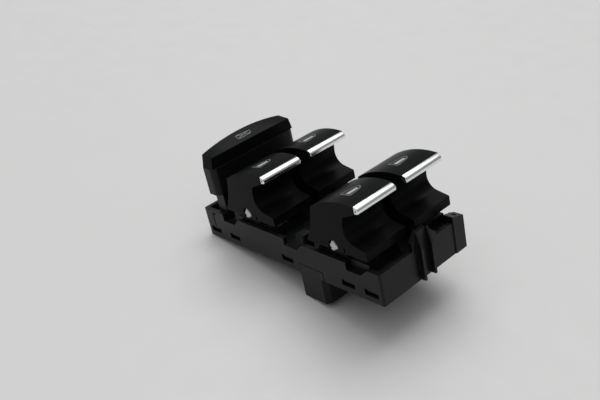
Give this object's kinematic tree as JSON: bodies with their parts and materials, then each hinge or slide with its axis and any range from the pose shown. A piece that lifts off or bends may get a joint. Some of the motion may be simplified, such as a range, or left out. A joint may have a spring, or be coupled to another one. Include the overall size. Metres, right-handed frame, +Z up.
{
  "type": "power window switch",
  "caption": "Driver's door window switch: sprung finger levers with bright tips, a wide window lock button and a plug socket under the base.",
  "frame": {"origin": "middle of the base box at its underside", "axes": "+X along the base towards the levers' bright tips, the car's front; +Y to the car's left; +Z up, out of the base towards the levers"},
  "size_m": [0.102, 0.0442, 0.0512],
  "materials": {
    "base_plastic": "fine matte moulded black",
    "button_plastic": "satin black paint over a moulding",
    "strip_chrome": "bright plated",
    "rocker_plastic": "natural white moulded",
    "guide_plastic": "clear moulded",
    "board_laminate": "green solder mask",
    "mat_silicone": "grey silicone",
    "pin_metal": "tinned",
    "lamp_plastic": "white lamp body",
    "chip_plastic": "moulded epoxy"
  },
  "bodies": {
    "base": {"housing": "base_plastic", "bottom_cover": "base_plastic", "circuit_board": "board_laminate", "contact_mat": "mat_silicone", "connector_pins": "pin_metal", "board_lamps": "lamp_plastic", "control_chip": "chip_plastic", "front_left_light_guide": "guide_plastic", "front_right_light_guide": "guide_plastic", "rear_left_light_guide": "guide_plastic", "rear_right_light_guide": "guide_plastic"},
    "lock_button": {"lock_cap": "button_plastic", "lock_skirt": "base_plastic", "lock_light_guide": "guide_plastic"},
    "front_left_switch": {"front_left_lever": "button_plastic", "front_left_strip": "strip_chrome", "front_left_rocker": "rocker_plastic"},
    "front_right_switch": {"front_right_lever": "button_plastic", "front_right_strip": "strip_chrome", "front_right_rocker": "rocker_plastic"},
    "rear_left_switch": {"rear_left_lever": "button_plastic", "rear_left_strip": "strip_chrome", "rear_left_rocker": "rocker_plastic"},
    "rear_right_switch": {"rear_right_lever": "button_plastic", "rear_right_strip": "strip_chrome", "rear_right_rocker": "rocker_plastic"}
  },
  "joints": [
    {"name": "front_left_rock", "type": "hinge", "parent": "base", "child": "front_left_switch", "pos_m": [0.029, 0.01205, 0.0176], "axis": [0, 1, 0], "range_deg": [-8, 8], "stiffness_Nm_per_rad": 0.15, "deforming": ["contact_mat"]},
    {"name": "front_right_rock", "type": "hinge", "parent": "base", "child": "front_right_switch", "pos_m": [0.029, -0.01205, 0.0176], "axis": [0, 1, 0], "range_deg": [-8, 8], "stiffness_Nm_per_rad": 0.15, "deforming": ["contact_mat"]},
    {"name": "rear_left_rock", "type": "hinge", "parent": "base", "child": "rear_left_switch", "pos_m": [-0.0191, 0.01205, 0.0176], "axis": [0, 1, 0], "range_deg": [-8, 8], "stiffness_Nm_per_rad": 0.15, "deforming": ["contact_mat"]},
    {"name": "rear_right_rock", "type": "hinge", "parent": "base", "child": "rear_right_switch", "pos_m": [-0.0191, -0.01205, 0.0176], "axis": [0, 1, 0], "range_deg": [-8, 8], "stiffness_Nm_per_rad": 0.15, "deforming": ["contact_mat"]},
    {"name": "lock_press", "type": "slide", "parent": "base", "child": "lock_button", "axis": [0, 0, -1], "range_m": [0, 0.002], "stiffness_N_per_m": 1200, "springref_m": -0.0004, "deforming": ["contact_mat"]}
  ]
}
